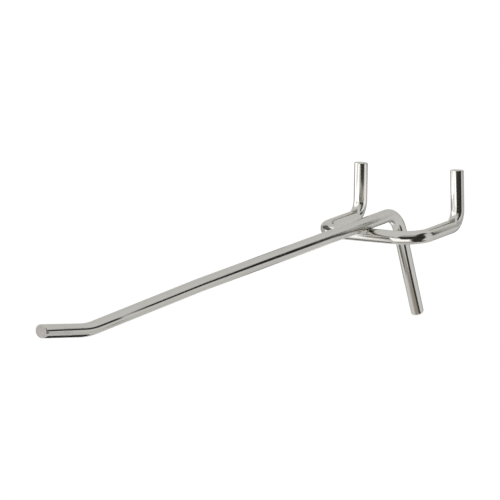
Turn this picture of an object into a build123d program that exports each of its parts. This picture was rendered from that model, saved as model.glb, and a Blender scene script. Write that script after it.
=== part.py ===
from build123d import *
import math
import os

os.makedirs("parts", exist_ok=True)

# A long hook for a perforated board, made of two round wires welded where they cross.
# Millimetres. +X right, +Y towards the board, +Z up; the arm runs out along -Y.
# The origin is midway between the two prongs, on the centre plane of the flat yoke.

# Wires
arm_wire_diameter = 3.06
yoke_wire_diameter = 3.14
arm_radius = arm_wire_diameter / 2
yoke_radius = yoke_wire_diameter / 2

# Yoke: a flat U, closed at the front, each rear end turned up into a prong
prong_pitch = 25.4
yoke_depth = 21.6
yoke_corner_radius = 6.25
prong_bend_radius = 3.65
left_prong_height = 12.5
right_prong_height = 12.8
prong_lean = 1.1
prong_cut_angle = 5.0
prong_end_round = 0.2

# Arm: nearly level over the yoke, a slight dip towards the front, then the raised tip
weld_set_down = 0.35
arm_height = arm_radius + yoke_radius - weld_set_down
arm_slope = 0.15
dip_start = -105.0
dip_angle = 1.03
dip_bend_radius = 300.0
tip_corner = -156.6
tip_rise = 9.5
tip_bend_radius = 38.0
tip_length = 21.0
tip_cut_angle = 12.0
tip_cut_side = 8.0
tip_end_round = 0.15

# Leg: the rear of the arm turned down, slanting towards the board
rear_corner = -6.6
rear_bend_radius = 8.1
leg_angle = 66.3
leg_length = 28.0
leg_end_round = 0.4

# Collar of metal squeezed out round the weld
collar_radius = 1.4
collar_height = yoke_radius - weld_set_down / 2


def along(start, angle, distance):
    # The point reached from start in the YZ plane, at an angle above the level line towards the board
    rise = math.radians(angle)
    return start + Vector(0, math.cos(rise), math.sin(rise)) * distance


def across(start, angle, depth):
    # The point at y = depth on the line through start, at an angle above the level line towards the board
    return start + Vector(0, 1, math.tan(math.radians(angle))) * (depth - start.Y)


def bent_line(corners, radii):
    # Straight runs joined at each corner by an arc that is tangent to both
    start = corners[0]
    for before, corner, after, radius in zip(corners, corners[1:], corners[2:], radii):
        back = (before - corner).normalized()
        ahead = (after - corner).normalized()
        half_turn = math.radians(180 - back.get_angle(ahead)) / 2
        setback = radius * math.tan(half_turn)
        inward = (back + ahead).normalized()
        middle = corner + inward * (radius / math.cos(half_turn) - radius)
        Line(start, corner + back * setback)
        ThreePointArc(corner + back * setback, middle, corner + ahead * setback)
        start = corner + ahead * setback
    Line(start, corners[-1])


# Arm wire, from the foot of the leg to the raised tip
weld_point = Vector(0, -yoke_depth, arm_height)
rear_point = across(weld_point, arm_slope, rear_corner)
dip_point = across(weld_point, arm_slope, dip_start)
foot_point = along(rear_point, -leg_angle, leg_length)
tip_point = across(dip_point, dip_angle, tip_corner)
tip_end = along(tip_point, 180 - tip_rise, tip_length)
tip_spare = along(tip_point, 180 - tip_rise, tip_length + 2 * arm_wire_diameter)

with BuildPart() as arm_wire:
    with BuildLine() as arm_line:
        bent_line(
            [foot_point, rear_point, dip_point, tip_point, tip_spare],
            [rear_bend_radius, dip_bend_radius, tip_bend_radius],
        )
    with BuildSketch(Plane(arm_line.line @ 0, z_dir=arm_line.line % 0)):
        Circle(arm_radius)
    sweep(path=arm_line.line)
    # The tip is sheared off out of square, its top and right edges standing forward
    cut_normal = along(Vector(-math.tan(math.radians(tip_cut_side)), 0, 0), 180 - tip_rise + tip_cut_angle, 1)
    split(bisect_by=Plane(tip_end, z_dir=cut_normal), keep=Keep.BOTTOM)
    fillet(arm_wire.faces().sort_by(Axis.Y)[0].edges(), tip_end_round)
    fillet(arm_wire.faces().sort_by(Axis.Z)[0].edges(), leg_end_round)

# Yoke wire, from the top of the left prong round the front to the top of the right one
half_pitch = prong_pitch / 2
lean = math.tan(math.radians(prong_lean))
left_heading = Vector(lean, 0, 1)
right_heading = Vector(-lean, 0, 1)
left_root = Vector(-half_pitch, 0, 0)
right_root = Vector(half_pitch, 0, 0)
yoke_corners = [
    left_root + left_heading * (left_prong_height + yoke_wire_diameter),
    left_root,
    Vector(-half_pitch, -yoke_depth, 0),
    Vector(half_pitch, -yoke_depth, 0),
    right_root,
    right_root + right_heading * (right_prong_height + yoke_wire_diameter),
]

with BuildPart() as yoke_wire:
    with BuildLine() as yoke_line:
        bent_line(
            yoke_corners,
            [prong_bend_radius, yoke_corner_radius, yoke_corner_radius, prong_bend_radius],
        )
    with BuildSketch(Plane(yoke_line.line @ 0, z_dir=yoke_line.line % 0)):
        Circle(yoke_radius)
    sweep(path=yoke_line.line)
    # The prongs are sheared off with their front edges standing a little higher
    slant = Vector(0, math.tan(math.radians(prong_cut_angle)), 0)
    with Locations(
        Plane(left_root + left_heading * left_prong_height, z_dir=left_heading + slant),
        Plane(right_root + right_heading * right_prong_height, z_dir=right_heading + slant),
    ):
        Cylinder(
            yoke_wire_diameter,
            2 * yoke_wire_diameter,
            align=(Align.CENTER, Align.CENTER, Align.MIN),
            mode=Mode.SUBTRACT,
        )
    fillet(yoke_wire.faces().filter_by(GeomType.PLANE).edges(), prong_end_round)
    # The collar fills the corner between the two wires, and the arm is sunk into both
    with Locations((0, -yoke_depth, collar_height)):
        Sphere(collar_radius)
    add(arm_wire.part, mode=Mode.SUBTRACT)

arm_wire.part.label = "arm_wire"
yoke_wire.part.label = "yoke_wire"

export_step(arm_wire.part, "parts/arm_wire.step")
export_step(yoke_wire.part, "parts/yoke_wire.step")
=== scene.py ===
import math

import bpy
import numpy as np
from mathutils import Matrix


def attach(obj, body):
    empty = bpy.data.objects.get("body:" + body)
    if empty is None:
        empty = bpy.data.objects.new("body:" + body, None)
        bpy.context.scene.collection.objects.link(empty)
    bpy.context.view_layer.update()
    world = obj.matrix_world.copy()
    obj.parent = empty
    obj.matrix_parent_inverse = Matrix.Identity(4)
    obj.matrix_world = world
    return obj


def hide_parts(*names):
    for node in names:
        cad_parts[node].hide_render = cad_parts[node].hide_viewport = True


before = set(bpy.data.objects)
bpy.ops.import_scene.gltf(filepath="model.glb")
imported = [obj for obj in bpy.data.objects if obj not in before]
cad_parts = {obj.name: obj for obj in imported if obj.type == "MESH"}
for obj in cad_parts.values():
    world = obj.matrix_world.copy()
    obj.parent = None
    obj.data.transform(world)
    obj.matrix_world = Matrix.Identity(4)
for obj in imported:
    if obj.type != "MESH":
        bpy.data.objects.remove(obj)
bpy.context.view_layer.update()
print("frame: packed hook loaded")

mm = 0.001
white = (1, 1, 1)


class Signal:  # one output socket that Python can do sums with; every sum adds a Math node
    def __init__(self, recipe, socket):
        self.recipe, self.socket = recipe, socket

    def maths(self, operation, *values):
        return self.recipe.node("ShaderNodeMath", {"operation": operation}, dict(enumerate(values)))("Value")

    def __add__(self, other): return self.maths("ADD", self, other)
    def __radd__(self, other): return self.maths("ADD", other, self)
    def __sub__(self, other): return self.maths("SUBTRACT", self, other)
    def __rsub__(self, other): return self.maths("SUBTRACT", other, self)
    def __mul__(self, other): return self.maths("MULTIPLY", self, other)
    def __rmul__(self, other): return self.maths("MULTIPLY", other, self)
    def __abs__(self): return self.maths("ABSOLUTE", self)


class Recipe:  # the node tree of one material or of the world
    def __init__(self, owner):
        owner.use_nodes = True
        self.tree = owner.node_tree
        self.tree.nodes.clear()

    def node(self, kind, settings, values):
        made = self.tree.nodes.new(kind)
        for name, value in settings.items():
            setattr(made, name, value)
        for name, value in values.items():
            socket = made.inputs[name]
            if isinstance(value, Signal):
                self.tree.links.new(value.socket, socket)
            elif socket.type == "RGBA" and len(value) == 3:
                socket.default_value = (*value, 1)
            else:
                socket.default_value = value
        return lambda output: Signal(self, made.outputs[output])

    def attribute(self, name, output):
        return self.node("ShaderNodeAttribute", {"attribute_name": name}, {})(output)

    def noise(self, vector, scale, detail, roughness=0.5):
        return self.node("ShaderNodeTexNoise", {}, {
            "Vector": vector, "Scale": scale, "Detail": detail, "Roughness": roughness})(0)

    def stretch(self, vector, scale):
        return self.node("ShaderNodeVectorMath", {"operation": "MULTIPLY"}, {0: vector, 1: scale})("Vector")

    def ramp(self, value, low, high, start=0.0, end=1.0):  # smooth step from start to end between low and high
        return self.node("ShaderNodeMapRange", {"interpolation_type": "SMOOTHSTEP"},
                         {0: value, 1: low, 2: high, 3: start, 4: end})(0)

    def mixColour(self, factor, first, second):
        return self.node("ShaderNodeMix", {"data_type": "RGBA"}, {0: factor, 6: first, 7: second})(2)

    def bump(self, height):  # height in metres
        return self.node("ShaderNodeBump", {}, {"Strength": 1.0, "Distance": 1.0, "Height": height})("Normal")

    def seenStraight(self):  # 1 for rays from the camera and in gloss or glass, 0 for the light on matt faces
        path = self.node("ShaderNodeLightPath", {}, {})
        return path("Is Camera Ray") + path("Is Glossy Ray") + path("Is Transmission Ray")

    def finish(self, surface):
        self.node("ShaderNodeOutputMaterial", {}, {"Surface": surface})


def addMaterial(piece, name):
    material = bpy.data.materials.new(name)
    piece.data.materials.append(material)
    return Recipe(material)


def placed(name, data, right, up, back, spot):  # a lamp or camera at the spot, which looks away from its back
    thing = bpy.data.objects.new(name, data)
    bpy.context.scene.collection.objects.link(thing)
    turn = np.eye(4)
    turn[:3] = np.stack([right, up, back, spot], -1)
    thing.matrix_world = Matrix(turn.tolist())
    return thing


def toward(azimuth, elevation):
    # Unit vector (sin az * cos el, cos az * cos el, sin el): azimuth 0 is the board side, 90 the right.
    return np.stack([np.sin(azimuth) * np.cos(elevation), np.cos(azimuth) * np.cos(elevation),
                     np.sin(elevation)], -1)


def travelled(points):
    # Distance of each point from the first, as the sum of the steps between them.
    return np.concatenate([[0], np.cumsum(np.linalg.norm(np.diff(points, axis=0), axis=1))])


def tubeQuads(rings, around):
    # Point number = ring * points round the ring + place round it; each quad joins two neighbours on two rings.
    row, column = np.meshgrid(np.arange(rings - 1), np.arange(around), indexing="ij")
    here, beside = row * around + column, row * around + (column + 1) % around
    return np.stack([here, here + around, beside + around, beside], -1).reshape(-1, 4)


def poleFan(pole, start, around, last=False):
    # Triangles from a pole to the ring whose points begin at start, turned over for the last pole of a tube.
    column = np.arange(around)
    here, beside, middle = start + column, start + (column + 1) % around, np.full(around, pole)
    return np.stack([here, middle, beside] if last else [middle, here, beside], -1)


def closedEnds(rings, around):  # both fans of a tube, whose two poles come after its rings
    count = rings * around
    return np.concatenate([poleFan(count, 0, around), poleFan(count + 1, count - around, around, last=True)])


def buildPiece(name, vertices, quads, triangles, attributes):
    # One mesh of quads, then triangles. An attribute has one number or three to each vertex.
    mesh = bpy.data.meshes.new(name)
    mesh.vertices.add(len(vertices))
    mesh.vertices.foreach_set("co", vertices.astype(np.float32).ravel())
    corners = np.concatenate([quads.ravel(), triangles.ravel()])
    sizes = np.concatenate([np.full(len(quads), 4), np.full(len(triangles), 3)])
    starts = np.concatenate([[0], np.cumsum(sizes)[:-1]])
    mesh.loops.add(len(corners))
    mesh.loops.foreach_set("vertex_index", corners.astype(np.int32))
    mesh.polygons.add(len(sizes))
    mesh.polygons.foreach_set("loop_start", starts.astype(np.int32))
    mesh.update(calc_edges=True)
    for key, values in attributes.items():
        flat = values.ndim == 1
        layer = mesh.attributes.new(key, "FLOAT" if flat else "FLOAT_VECTOR", "POINT")
        layer.data.foreach_set("value" if flat else "vector", values.astype(np.float32).ravel())
    mesh.polygons.foreach_set("use_smooth", np.ones(len(sizes), bool))
    mesh.update()
    mesh.validate()
    piece = bpy.data.objects.new(name, mesh)
    bpy.context.scene.collection.objects.link(piece)
    return piece


def roundedLine(corners, radii, arcStep, runStep):
    # Straight runs between the corners, and at each inner corner an arc that touches both runs: the arc starts
    # and ends at radius * tan(half the turn) from the corner. A run has 2 rings or more and an arc 6 or more.
    # Returns centres and directions, one row a ring.
    corners = np.array(corners, float)
    centres, headings = [], []
    last = corners[0]
    for k, radius in enumerate(radii, 1):
        inward = corners[k] - corners[k - 1]
        outward = corners[k + 1] - corners[k]
        inward, outward = inward / np.linalg.norm(inward), outward / np.linalg.norm(outward)
        turn = math.acos(np.clip(inward @ outward, -1, 1))
        start = corners[k] - inward * radius * math.tan(turn / 2)
        count = max(2, int(np.linalg.norm(start - last) / runStep) + 1)
        centres.append(last + (start - last) * np.linspace(0, 1, count)[:, None])
        headings.append(np.repeat(inward[None], count, 0))
        count = max(6, int(radius * turn / arcStep) + 1)
        angle = np.linspace(0, turn, count)[1:-1, None]
        inside = outward - inward * (inward @ outward)
        inside /= np.linalg.norm(inside)
        centres.append(start + radius * (inward * np.sin(angle) + inside * (1 - np.cos(angle))))
        headings.append(inward * np.cos(angle) + inside * np.sin(angle))
        last = start + radius * (inward * math.sin(turn) + inside * (1 - math.cos(turn)))
    final = corners[-1] - corners[-2]
    final /= np.linalg.norm(final)
    count = max(2, int(np.linalg.norm(corners[-1] - last) / runStep) + 1)
    centres.append(last + (corners[-1] - last) * np.linspace(0, 1, count)[:, None])
    headings.append(np.repeat(final[None], count, 0))
    return np.concatenate(centres), np.concatenate(headings)


wireEnd = {
    "roundingRings": 9,
    "faceRings": (0.96, 0.9, 0.8, 0.65, 0.45, 0.25, 0.08),  # radii, as shares of the flat face's
    "clear": 1.5,                # the wire's own rings begin this many roundings from its end
}


def endRings(centre, outward, radius, rounding):
    # One cut end, from the barrel to the middle of the face: ring depth = rounding * (1 - sin q) and ring radius =
    # radius - rounding + rounding * cos q for q from 0 to a quarter turn, then smaller rings on the flat face.
    quarter = np.linspace(0, math.pi / 2, wireEnd["roundingRings"])
    face = (radius - rounding) * np.array(wireEnd["faceRings"])
    depth = np.concatenate([rounding * (1 - np.sin(quarter)), np.zeros(len(face))])
    size = np.concatenate([radius - rounding + rounding * np.cos(quarter), face])
    return centre - outward * depth[:, None], size


def sweptWire(name, line, wire, roundings, cuts):
    # Surface point = ring centre + ring radius * (cos a * side + sin a * other side), for a from 0 to a full turn.
    # Both ends close on a pole. A cut slants its end: points move along the wire by the cut's two slopes times how
    # far they stand to the side and to the other side, less and less over the last diameter.
    centres, headings, sides = line
    radius, around = wire["diameter"] / 2, wire["facesRound"]
    firstCentres, firstSizes = endRings(centres[0], -headings[0], radius, roundings[0])
    lastCentres, lastSizes = endRings(centres[-1], headings[-1], radius, roundings[1])
    travel = travelled(centres)
    firstClear, lastClear = (rounding * wireEnd["clear"] for rounding in roundings)
    keep = (travel > firstClear) & (travel < travel[-1] - lastClear)
    ringCentres = np.concatenate([firstCentres[::-1], centres[keep], lastCentres])
    ringSizes = np.concatenate([firstSizes[::-1], np.full(keep.sum(), radius), lastSizes])
    ringHeadings, ringSides = (
        np.concatenate([np.repeat(ways[:1], len(firstSizes), 0), ways[keep],
                        np.repeat(ways[-1:], len(lastSizes), 0)]) for ways in (headings, sides))
    others = np.cross(ringSides, ringHeadings)
    angle = np.linspace(0, 2 * math.pi, around, endpoint=False)
    wave = np.cos(angle)[None, :, None] * ringSides[:, None] + np.sin(angle)[None, :, None] * others[:, None]
    points = ringCentres[:, None] + ringSizes[:, None, None] * wave
    along = travelled(ringCentres)
    for (sideSlope, otherSlope), distance in zip(cuts, (along, along[-1] - along)):
        near = np.clip(1 - distance / (2 * radius), 0, 1)
        lift = (ringSizes * near)[:, None] * (sideSlope * np.cos(angle) + otherSlope * np.sin(angle))[None]
        points = points + lift[:, :, None] * ringHeadings[:, None]
    rings, count = len(points), points[..., 0].size
    vertices = np.concatenate([points.reshape(-1, 3), ringCentres[:1], ringCentres[-1:]])
    place = np.zeros((count + 2, 3))                  # cosine, sine and centimetres along the wire
    centimetres = along * 100
    place[:count] = np.stack(np.broadcast_arrays(
        np.cos(angle)[None], np.sin(angle)[None], centimetres[:, None]), -1).reshape(-1, 3)
    place[count:, 2] = centimetres[[0, -1]]
    faceRings = len(wireEnd["faceRings"]) + 1
    mark = np.zeros(rings)                            # 1 on the flat cut faces, 0 on the drawn barrel
    mark[:faceRings] = mark[-faceRings:] = 1
    cutMark = np.concatenate([np.repeat(mark, around), [1, 1]])
    return buildPiece(name, vertices, tubeQuads(rings, around), closedEnds(rings, around),
                      {"wirePlace": place, "cutFace": cutMark})


plating = {
    "colour": (0.515, 0.510, 0.488),
    "warmer": (0.506, 0.490, 0.455),
    "warmRange": (0.38, 0.66),     # of the noise, from the first colour to the second
    "streakShare": 0.6,            # of the streaks in that noise, with patches for the rest
    "edgeTint": (0.72, 0.72, 0.70),
    "roughness": 0.13,
    "lineRoughness": 0.05,
    "dullPatches": 0.06,
    "dullRange": (0.4, 0.75),
    "patchScale": 160.0,
    "lines": (11, 11, 0.35),       # waves over the wire's radius, and to the centimetre along it
    "lineDepth": 0.0000015,        # of the lines that the drawing die leaves, metres
    "streaks": (2.2, 2.2, 0.5),
    "streakDepth": 0.000004,
}

shearedFace = {
    "colour": (0.60, 0.565, 0.535),
    "shade": (0.40, 0.375, 0.355),
    "shadeRange": (0.35, 0.68),
    "tearShare": 0.7,
    "metalLost": 0.45,
    "roughness": 0.55,
    "roughnessSpread": 0.3,
    "tears": (6200, 900, 1500),    # waves to the metre, across, along and up
    "tearDepth": 0.00003,
    "grainScale": 5200.0,
    "grainDepth": 0.000012,
}


def addPlatedFinish(piece, name):
    # Plate on the barrel and torn steel on the cut faces: each look = plate * (1 - cut) + torn * cut.
    p, t = plating, shearedFace
    recipe = addMaterial(piece, name)
    place, cut = recipe.attribute("wirePlace", "Vector"), recipe.attribute("cutFace", "Fac")
    body = recipe.node("ShaderNodeTexCoord", {}, {})("Object")
    lines = recipe.noise(recipe.stretch(place, p["lines"]), 1.0, detail=3.0, roughness=0.6)
    streaks = recipe.noise(recipe.stretch(place, p["streaks"]), 1.0, detail=2.0)
    patches = recipe.noise(body, p["patchScale"], detail=3.0)
    tears = recipe.noise(recipe.stretch(body, t["tears"]), 1.0, detail=4.0, roughness=0.65)
    grain = recipe.noise(body, t["grainScale"], detail=2.0)
    warmth = streaks * p["streakShare"] + patches * (1 - p["streakShare"])
    bright = recipe.mixColour(recipe.ramp(warmth, *p["warmRange"]), p["colour"], p["warmer"])
    depth = tears * t["tearShare"] + grain * (1 - t["tearShare"])
    torn = recipe.mixColour(recipe.ramp(depth, *t["shadeRange"]), t["colour"], t["shade"])
    dull = recipe.ramp(patches, *p["dullRange"]) * p["dullPatches"]
    plateRoughness = p["roughness"] + dull + (lines - 0.5) * p["lineRoughness"]
    tornRoughness = t["roughness"] + (tears - 0.5) * t["roughnessSpread"]
    plateRelief = lines * p["lineDepth"] + streaks * p["streakDepth"]
    tornRelief = tears * t["tearDepth"] + grain * t["grainDepth"]
    surface = recipe.node("ShaderNodeBsdfPrincipled", {}, {
        "Base Color": recipe.mixColour(cut, bright, torn),
        "Metallic": 1 - cut * t["metalLost"],
        "Roughness": plateRoughness * (1 - cut) + cut * tornRoughness,
        "Normal": recipe.bump(plateRelief * (1 - cut) + cut * tornRelief),
        "Specular Tint": p["edgeTint"]})("BSDF")
    recipe.finish(surface)


armWire = {
    "diameter": 3.06 * mm,
    "height": 2.75 * mm,         # of its middle line over the yoke's, where the two are welded
    "weldAt": -21.6 * mm,
    "slope": 0.15,
    "dipStart": -105.0 * mm,
    "dipAngle": 1.03,
    "dipRadius": 300.0 * mm,
    "tipCorner": -156.6 * mm,
    "tipRise": 9.5,
    "tipRadius": 38.0 * mm,
    "tipLength": 21.0 * mm,
    "tipCutAngle": 12.0,         # top forward
    "tipCutSide": 8.0,           # right side forward
    "tipRounding": 0.17 * mm,
    "rearCorner": -6.6 * mm,
    "rearRadius": 8.1 * mm,
    "legAngle": 66.3,
    "legLength": 28.0 * mm,
    "legRounding": 0.4 * mm,
    "facesRound": 112,
    "arcStep": 0.25 * mm,
    "runStep": 1.0 * mm,
}


def onward(start, angle, distance):
    # Point = start + distance * (0, cos angle, sin angle).
    angle = math.radians(angle)
    return np.array(start) + distance * np.array([0, math.cos(angle), math.sin(angle)])


def across(start, angle, depth):
    # The point at this depth on the line through the start: its rise = run * tan(angle).
    return start + (depth - start[1]) * np.array([0, 1, math.tan(math.radians(angle))])


def makeArm(a):
    # All corners lie in the middle plane: the rear corner and the dip on the arm's slope through the weld, the
    # tip's corner on the dip's slope, and the foot and the tip's end at their own angles and lengths from there.
    crossing = np.array([0, a["weldAt"], a["height"]])
    rear = across(crossing, a["slope"], a["rearCorner"])
    dip = across(crossing, a["slope"], a["dipStart"])
    foot = onward(rear, -a["legAngle"], a["legLength"])
    tip = across(dip, a["dipAngle"], a["tipCorner"])
    tipEnd = onward(tip, 180 - a["tipRise"], a["tipLength"])
    bends = [a["rearRadius"], a["dipRadius"], a["tipRadius"]]
    centres, headings = roundedLine([foot, rear, dip, tip, tipEnd], bends, a["arcStep"], a["runStep"])
    sides = np.repeat([[1.0, 0, 0]], len(centres), 0)
    # the other side, side x heading, points down on the arm, so a negative slope brings the top forward
    tipCut = math.tan(math.radians(a["tipCutSide"])), -math.tan(math.radians(a["tipCutAngle"]))
    return sweptWire("armWire", (centres, headings, sides), a, (a["legRounding"], a["tipRounding"]),
                     ((0, 0), tipCut))


armPiece = makeArm(armWire)
print("arm wire: made", len(armPiece.data.polygons), "faces")

yokeWire = {
    "diameter": 3.14 * mm,
    "pitch": 25.4 * mm,
    "depth": -armWire["weldAt"],  # the arm crosses its front run
    "cornerRadius": 6.25 * mm,
    "prongBendRadius": 3.65 * mm,
    "leftHeight": 12.5 * mm,
    "rightHeight": 12.8 * mm,
    "lean": 1.1,
    "cutAngle": 5.0,
    "endRounding": 0.22 * mm,
    "facesRound": 112,
    "arcStep": 0.2 * mm,
    "runStep": 0.8 * mm,
}


def makeYoke(y):
    # Three lines, joined halfway along the side runs: left prong, flat U, right prong. A prong's top stands in by
    # height * tan(lean). The ring sides are (cos lean, 0, -sin lean) on a prong, and level on the U.
    half, middle, front = y["pitch"] / 2, -y["depth"] / 2, -y["depth"]
    lean, steps = math.radians(y["lean"]), (y["arcStep"], y["runStep"])
    leftTop = [-half + y["leftHeight"] * math.tan(lean), 0, y["leftHeight"]]
    rightTop = [half - y["rightHeight"] * math.tan(lean), 0, y["rightHeight"]]
    left = roundedLine([leftTop, [-half, 0, 0], [-half, middle, 0]], [y["prongBendRadius"]], *steps)
    flat = roundedLine([[-half, middle, 0], [-half, front, 0], [half, front, 0], [half, middle, 0]],
                       [y["cornerRadius"]] * 2, *steps)
    right = roundedLine([[half, middle, 0], [half, 0, 0], rightTop], [y["prongBendRadius"]], *steps)
    parts = [
        (*left, np.repeat([[math.cos(lean), 0, -math.sin(lean)]], len(left[0]), 0)),
        (*flat, np.cross(flat[1], [0, 0, -1])),
        (*right, np.repeat([[-math.cos(lean), 0, -math.sin(lean)]], len(right[0]), 0)),
    ]
    line = [np.concatenate([first, second[1:], third[1:]]) for first, second, third in zip(*parts)]
    slant = math.tan(math.radians(y["cutAngle"]))  # the rear edge of both ends is the lower one
    return sweptWire("yokeWire", line, y, [y["endRounding"]] * 2, ((0, slant), (0, -slant)))


yokePiece = makeYoke(yokeWire)
print("yoke wire: made", len(yokePiece.data.polygons), "faces")

weld = {
    "centre": (0, armWire["weldAt"], 1.395 * mm),
    "radius": 1.4 * mm,
    "ragged": 0.05,
    "waves": ((5, 0.5, 0.6, 0), (9, 0.3, 0, 2), (14, 0.2, 0, -3)),  # count, height, phase, twist down the collar
    "rows": 40,
    "columns": 72,
    "shade": (0.26, 0.245, 0.22),
    "bright": (0.55, 0.54, 0.52),
    "brightRange": (0.4, 0.62),
    "spatterScale": 1500.0,
    "spatterDepth": 0.00006,
    "roughness": 0.22,
    "roughnessSpread": 0.3,
}


def makeWeld(w):
    # A ball round the contact: point = size * (sin fall * cos turn, sin fall * sin turn, cos fall), with size =
    # radius * (1 - ragged * (1 + the waves)) and wave = height * sin(count * turn + phase + twist * fall).
    rows, columns = w["rows"], w["columns"]
    fall = np.linspace(0, math.pi, rows + 2)[1:-1, None]
    turn = np.linspace(0, 2 * math.pi, columns, endpoint=False)[None]
    waves = sum(height * np.sin(count * turn + phase + twist * fall) for count, height, phase, twist in w["waves"])
    size = w["radius"] * (1 - w["ragged"] * (1 + waves))
    points = np.stack([size * np.sin(fall) * np.cos(turn), size * np.sin(fall) * np.sin(turn),
                       size * np.cos(fall) * np.ones_like(turn)], -1).reshape(-1, 3)
    poles = np.array([[0, 0, size[0].mean()], [0, 0, -size[-1].mean()]])
    vertices = np.concatenate([points, poles]) + np.array(w["centre"])
    return buildPiece("weldCollar", vertices, tubeQuads(rows, columns), closedEnds(rows, columns), {})


def addWeldFinish(piece, w):
    # Squeezed-out steel: one noise gives the colour, the roughness and the height.
    recipe = addMaterial(piece, "weldedSteel")
    body = recipe.node("ShaderNodeTexCoord", {}, {})("Object")
    spatter = recipe.noise(body, w["spatterScale"], detail=3.0)
    surface = recipe.node("ShaderNodeBsdfPrincipled", {}, {
        "Base Color": recipe.mixColour(recipe.ramp(spatter, *w["brightRange"]), w["shade"], w["bright"]),
        "Metallic": 1.0,
        "Roughness": w["roughness"] + spatter * w["roughnessSpread"],
        "Normal": recipe.bump(spatter * w["spatterDepth"])})("BSDF")
    recipe.finish(surface)


weldPiece = makeWeld(weld)
addPlatedFinish(armPiece, "platedArmWire")
addPlatedFinish(yokePiece, "platedYokeWire")
addWeldFinish(weldPiece, weld)
print("weld and finishes: made")

for piece in (armPiece, yokePiece, weldPiece):
    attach(piece, "root")
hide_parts("arm_wire")
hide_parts("yoke_wire")

studio = {
    "floorHeight": -0.10,
    "floorRings": (0.05, 0.2, 0.5, 1, 2, 4, 8),
    "floorSides": 96,
    "floorColour": (0.80, 0.80, 0.80),
    "floorFill": 0.215,
    "world": 0.88,               # light on matt faces; the camera and the gloss see plain white
    "sun": 0.45,
    "sunSpread": 50,             # degrees that it fills in the sky, for soft shadows
    "sunTurn": (18, -14, 0),     # degrees about x, y and z
}


def makeFloor(s):
    # A flat round of rings: point = distance * (cos a, sin a) at one height. From below it is clear.
    distance = np.array(s["floorRings"])[:, None]
    turn = np.linspace(0, 2 * math.pi, s["floorSides"], endpoint=False)[None]
    points = np.stack(np.broadcast_arrays(
        distance * np.cos(turn), distance * np.sin(turn), s["floorHeight"]), -1).reshape(-1, 3)
    vertices = np.concatenate([points, [[0, 0, s["floorHeight"]]]])
    fan = poleFan(len(points), 0, s["floorSides"])
    floor = buildPiece("floor", vertices, tubeQuads(len(distance), s["floorSides"]), fan, {})
    recipe = addMaterial(floor, "paleFloor")
    matt = recipe.node("ShaderNodeBsdfDiffuse", {}, {"Color": s["floorColour"]})("BSDF")
    fill = recipe.node("ShaderNodeEmission", {}, {
        "Color": white, "Strength": recipe.seenStraight() * s["floorFill"]})("Emission")
    both = recipe.node("ShaderNodeAddShader", {}, {0: matt, 1: fill})("Shader")
    below = recipe.node("ShaderNodeNewGeometry", {}, {})("Backfacing")
    clear = recipe.node("ShaderNodeBsdfTransparent", {}, {})("BSDF")
    recipe.finish(recipe.node("ShaderNodeMixShader", {}, {0: below, 1: both, 2: clear})("Shader"))


def makeWorld(s):
    world = bpy.data.worlds.new("studioAir")
    bpy.context.scene.world = world
    recipe = Recipe(world)
    strength = s["world"] + recipe.seenStraight() * (1 - s["world"])
    air = recipe.node("ShaderNodeBackground", {}, {"Color": white, "Strength": strength})("Background")
    recipe.node("ShaderNodeOutputWorld", {}, {"Surface": air})


def makeSun(s):
    data = bpy.data.lights.new("softOverhead", "SUN")
    data.energy, data.angle = s["sun"], math.radians(s["sunSpread"])
    lamp = bpy.data.objects.new("softOverhead", data)
    bpy.context.scene.collection.objects.link(lamp)
    lamp.rotation_euler = [math.radians(angle) for angle in s["sunTurn"]]
    lamp.visible_glossy = False


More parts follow.
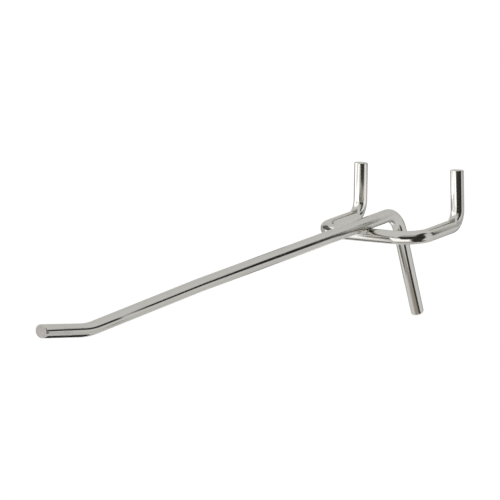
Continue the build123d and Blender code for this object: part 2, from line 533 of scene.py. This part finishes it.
# Painted reflections: glowing and dark cards round the hook, which are no lamps and light nothing, and which only
# its reflections see, and only from the side of the spot that each one surrounds; they paint highlights, glints
# and dark streaks onto the metal.
# A card runs from its first spot, azimuth and elevations to its last, at one distance in mm. The shares in soft
# are how much of its length and of its height fades out at each edge.
# The first light paints highlights and the second paints dark reflections; neither lights anything.
paintedHighlightLight, paintedDarkLight = (1.95, 1.95, 1.93), (0.05, 0.045, 0.04)
paintedReflectionCards = {
    # Painted highlights: white sheets that only the metal's reflections show, to its left and below.
    "leftPaintedHighlight": {
        "spots": [(0, -10, 2)], "azimuths": (161, 268), "elevations": [(-48, -6)],
        "distance": 120, "light": paintedHighlightLight, "soft": (0.05, 0.05)},
    "leftPaintedHighlightNear": {
        "spots": [(0, -10, 2)], "azimuths": (133, 172), "elevations": [(-48, -17)],
        "distance": 121, "light": paintedHighlightLight, "soft": (0.05, 0.05)},
    "leftPaintedHighlightRise": {
        "spots": [(0, -10, 2)], "azimuths": (182, 268), "elevations": [(-14, 6)],
        "distance": 119, "light": paintedHighlightLight, "soft": (0.05, 0.05)},
    "leftPaintedHighlightHigh": {
        "spots": [(0, -10, 2)], "azimuths": (225, 268), "elevations": [(-2, 45)],
        "distance": 118, "light": paintedHighlightLight, "soft": (0.05, 0.05)},
    # Painted dark reflection along the top of the painted highlights.
    "paintedDarkRim": {
        "spots": [(0, -21, 0)], "azimuths": (182, 225), "elevations": [(5, 17)],
        "distance": 110, "light": (0.1, 0.1, 0.09), "soft": (0.1, 0.1)},
    # Painted dark reflections on the right side of the hook.
    "sidePaintedDark": {
        "spots": [(8, -14, 0)], "azimuths": (74, 130), "elevations": [(-22, 45)],
        "distance": 240, "light": paintedDarkLight, "soft": (0.06, 0.06)},
    "sidePaintedDarkLow": {
        "spots": [(8, -14, 0)], "azimuths": (80, 130), "elevations": [(-50, -17)],
        "distance": 110, "light": paintedDarkLight, "soft": (0.06, 0.06)},
    "sidePaintedDarkFoot": {
        "spots": [(3, -8, -5)], "azimuths": (52, 124), "elevations": [(-60, -38)],
        "distance": 90, "light": paintedDarkLight, "soft": (0.12, 0.12)},
    "sidePaintedDarkHigh": {
        "spots": [(8, -8, 0)], "azimuths": (52, 100), "elevations": [(32, 54)],
        "distance": 205, "light": paintedDarkLight, "soft": (0.12, 0.12)},
    "sideShade": {
        "spots": [(12.7, -2, 0), (12.7, -19, 0)], "azimuths": (27, 27), "elevations": [(-8, 30)],
        "distance": 30, "light": (0.72, 0.71, 0.69), "soft": (0.2, 0.3)},
    # Painted dark and grey reflections towards the camera's side.
    "cameraPaintedDark": {
        "spots": [(0, -5, 3)], "azimuths": (112, 170), "elevations": [(-22, 26)],
        "distance": 150, "light": (0.06, 0.055, 0.05), "soft": (0.06, 0.06)},
    "cameraPaintedGreyHigh": {
        "spots": [(0, -5, 3)], "azimuths": (112, 162), "elevations": [(14, 52)],
        "distance": 152, "light": (0.7, 0.7, 0.68), "soft": (0.1, 0.1)},
    # Painted dark streak along the arm.
    "armPaintedDark": {
        "spots": [(0, -46, 2.7), (0, -150, 1.8)], "azimuths": (28.5, 28.5), "elevations": [(-4, 15), (1, 16)],
        "distance": 24, "light": (0.02, 0.02, 0.018), "soft": (0.15, 0.2)},
    # Painted pale reflection under the arm.
    "armPaintedPale": {
        "spots": [(0, -52, 2.7), (0, -150, 1.8)], "azimuths": (22, 22), "elevations": [(-62, -12), (-62, -9)],
        "distance": 20, "light": (0.95, 0.95, 0.93), "soft": (0.08, 0.08)},
    # Painted dark streak along the arm's rear part.
    "armPaintedDarkRear": {
        "spots": [(0, -23, 2.7), (0, -88, 2.7)], "azimuths": (28.5, 28.5), "elevations": [(-10, 26), (-7, 19)],
        "distance": 150, "light": (0.03, 0.03, 0.027), "soft": (0.2, 0.2)},
    # Painted dark streak along the tip.
    "tipPaintedDark": {
        "spots": [(0, -148, 1.8), (0, -187, 6.2)], "azimuths": (26, 26), "elevations": [(-4, 13), (-10, 4)],
        "distance": 23, "light": (0.05, 0.05, 0.045), "soft": (0.08, 0.2)},
    # Painted pale reflection under the tip.
    "tipPaintedPale": {
        "spots": [(0, -148, 1.8), (0, -187, 6.2)], "azimuths": (22, 22), "elevations": [(-31, -12), (-38, -18)],
        "distance": 20, "light": (0.9, 0.9, 0.88), "soft": (0.08, 0.1)},
    "tipShade": {
        "spots": [(0, -168, 4)], "azimuths": (-42, 15), "elevations": [(-50, -28)],
        "distance": 34, "light": (0.02, 0.02, 0.02), "soft": (0.1, 0.08)},
    # Painted dark rim on the tip's end.
    "tipPaintedDarkRim": {
        "spots": [(0, -177, 4.5)], "azimuths": (55, 175), "elevations": [(-40, 35)],
        "distance": 20, "light": (0.06, 0.055, 0.05), "soft": (0.1, 0.1)},
    "backShade": {
        "spots": [(0, -40, 0)], "azimuths": (-50, 12), "elevations": [(-24, -1)],
        "distance": 230, "light": (0.2, 0.2, 0.19), "soft": (0.1, 0.1)},
    "backShadeLeft": {
        "spots": [(0, -40, 0)], "azimuths": (-96, -42), "elevations": [(-30, 0)],
        "distance": 190, "light": (0.74, 0.74, 0.72), "soft": (0.1, 0.1)},
    "frontShade": {
        "spots": [(10, -21.6, 0), (1, -21.6, 0)], "azimuths": (205, 209), "elevations": [(-28, 4)],
        "distance": 48, "light": (0.1, 0.1, 0.09), "soft": (0.2, 0.15)},
    # Painted pale reflection on the front run.
    "frontPaintedPale": {
        "spots": [(12, -21.6, 0), (-1, -21.6, 0)], "azimuths": (205, 209), "elevations": [(-60, -14)],
        "distance": 49, "light": (0.85, 0.85, 0.83), "soft": (0.1, 0.1)},
    # Painted dark edge under the front run.
    "frontUnder": {
        "spots": [(-28, -21.6, 0), (-4, -21.6, 0)], "azimuths": (0, 0), "elevations": [(-103, -66)],
        "distance": 30, "light": (0.24, 0.24, 0.23), "soft": (0.1, 0.15)},
    "cornerShade": {
        "spots": [(-10.5, -19.5, 0)], "azimuths": (212, 300), "elevations": [(1, 40)],
        "distance": 22, "light": (0.18, 0.18, 0.17), "soft": (0.1, 0.1)},
    "legShade": {
        "spots": [(0, 0, -14)], "azimuths": (70, 232), "elevations": [(-75, -46)],
        "distance": 60, "light": (0.5, 0.45, 0.4), "soft": (0.4, 0.1)},
    "bendGlint": {
        "spots": [(0, -4, 0)], "azimuths": (-48, -25), "elevations": [(-62, -32)],
        "distance": 40, "light": (2.0, 1.9, 1.88), "soft": (0.2, 0.2)},
}
cardGrid = {"columns": 49, "rows": 25}  # points along a card and up it


def makePaintedReflectionCard(name, c):
    # Card point = spot + distance * the unit vector of its azimuth and elevation; u runs along the card from the
    # first spot and azimuth to the last, and v from the lower elevation to the upper one.
    columns, rows = cardGrid["columns"], cardGrid["rows"]
    u, v = np.meshgrid(np.linspace(0, 1, columns), np.linspace(0, 1, rows), indexing="ij")
    first, last = np.array(c["spots"][0]), np.array(c["spots"][-1])
    (firstLow, firstHigh), (lastLow, lastHigh) = c["elevations"][0], c["elevations"][-1]
    low, high = firstLow + u * (lastLow - firstLow), firstHigh + u * (lastHigh - firstHigh)
    azimuth = np.radians(c["azimuths"][0] + u * (c["azimuths"][1] - c["azimuths"][0]))
    elevation = np.radians(low + v * (high - low))
    points = (first + u[..., None] * (last - first) + toward(azimuth, elevation) * c["distance"]) * mm
    column, row = np.meshgrid(np.arange(columns - 1), np.arange(rows - 1), indexing="ij")
    here = column * rows + row
    quads = np.stack([here, here + rows, here + rows + 1, here + 1], -1).reshape(-1, 4)
    cardPlace = np.stack([u * 2 - 1, v * 2 - 1, np.zeros_like(u)], -1).reshape(-1, 3)  # -1 to 1 both ways
    card = buildPiece(name, points.reshape(-1, 3), quads, np.zeros((0, 3), int), {"cardPlace": cardPlace})
    recipe = addMaterial(card, name)
    split = recipe.node("ShaderNodeSeparateXYZ", {}, {0: recipe.attribute("cardPlace", "Vector")})
    wide, tall = (recipe.ramp(abs(split(axis)), 1 - soft * 2, 1.0, start=1.0, end=0.0)
                  for axis, soft in zip("XY", c["soft"]))
    behind = recipe.node("ShaderNodeNewGeometry", {}, {})("Backfacing")
    # the card's painted highlight or painted dark reflection, an emission that only the gloss sees
    glow = recipe.node("ShaderNodeEmission", {}, {"Color": c["light"], "Strength": 1.0})("Emission")
    clear = recipe.node("ShaderNodeBsdfTransparent", {}, {})("BSDF")
    shown = wide * tall * (1 - behind)
    recipe.finish(recipe.node("ShaderNodeMixShader", {}, {0: shown, 1: clear, 2: glow})("Shader"))
    card.visible_camera = card.visible_diffuse = card.visible_shadow = card.visible_transmission = False


# Small lamps beside the prongs, which only the gloss shows: spot, azimuth and elevation of the lamp seen from the
# spot, distance, width and height in mm, the glow of its face and the angle that it shines in.
lamps = {
    "leftProngGlow": {
        "spot": (-12.7, 0, 6.5), "azimuth": 218, "elevation": -6,
        "distance": 9, "size": (15, 15), "glow": 2.2, "spread": 180},
    "rightProngGlow": {
        "spot": (12.7, 0, 6.5), "azimuth": 212, "elevation": -6,
        "distance": 9, "size": (15, 15), "glow": 1.8, "spread": 180},
    "leftProngFill": {
        "spot": (-12.7, 0, 6.5), "azimuth": 76, "elevation": -6,
        "distance": 10, "size": (10, 15), "glow": 0.3, "spread": 75},
}


def makeLamp(name, p):
    # The lamp looks back at its spot. Its energy is glow * pi / 2 * width * height.
    azimuth, elevation = math.radians(p["azimuth"]), math.radians(p["elevation"])
    back, side = toward(azimuth, elevation), np.array([-math.cos(azimuth), math.sin(azimuth), 0])
    data = bpy.data.lights.new(name, "AREA")
    data.shape, data.size, data.size_y = "RECTANGLE", p["size"][0] * mm, p["size"][1] * mm
    data.energy = p["glow"] * math.pi / 2 * data.size * data.size_y
    data.spread = math.radians(p["spread"])
    spot = (np.array(p["spot"]) + back * p["distance"]) * mm
    lamp = placed(name, data, side, np.cross(back, side), back, spot)
    lamp.visible_camera = lamp.visible_diffuse = lamp.visible_transmission = False


makeFloor(studio)
makeWorld(studio)
makeSun(studio)
for name, card in paintedReflectionCards.items():
    makePaintedReflectionCard(name, card)
for name, lamp in lamps.items():
    makeLamp(name, lamp)
print("studio: floor, world, sun, cards and lamps made")

viewpoint = {
    "azimuth": 27.5,
    "elevation": 10.826,
    "distance": 2.0,
    "lens": 618.05,
    "sensor": 36,
    "clip": (0.05, 50),
    "across": 36.99 * mm,        # where the hook's origin stands in the picture, right of the middle
    "above": 7.095 * mm,
}


def makeCamera(v):
    # Right = (cos a, sin a, 0) and ahead = (-sin a * cos e, cos a * cos e, -sin e), for azimuth a and elevation e;
    # the camera stands at its distance back from the origin, moved left and down by across and above.
    a, e = math.radians(v["azimuth"]), math.radians(v["elevation"])
    right = np.array([math.cos(a), math.sin(a), 0])
    ahead = np.array([-math.sin(a) * math.cos(e), math.cos(a) * math.cos(e), -math.sin(e)])
    up = np.cross(right, ahead)
    data = bpy.data.cameras.new("camera")
    data.lens, data.sensor_width, data.sensor_fit = v["lens"], v["sensor"], "HORIZONTAL"
    data.clip_start, data.clip_end = v["clip"]
    spot = -v["across"] * right - v["above"] * up - v["distance"] * ahead
    bpy.context.scene.camera = placed("camera", data, right, up, -ahead, spot)


makeCamera(viewpoint)
bpy.context.scene.view_settings.view_transform = "Standard"
print("camera: set")
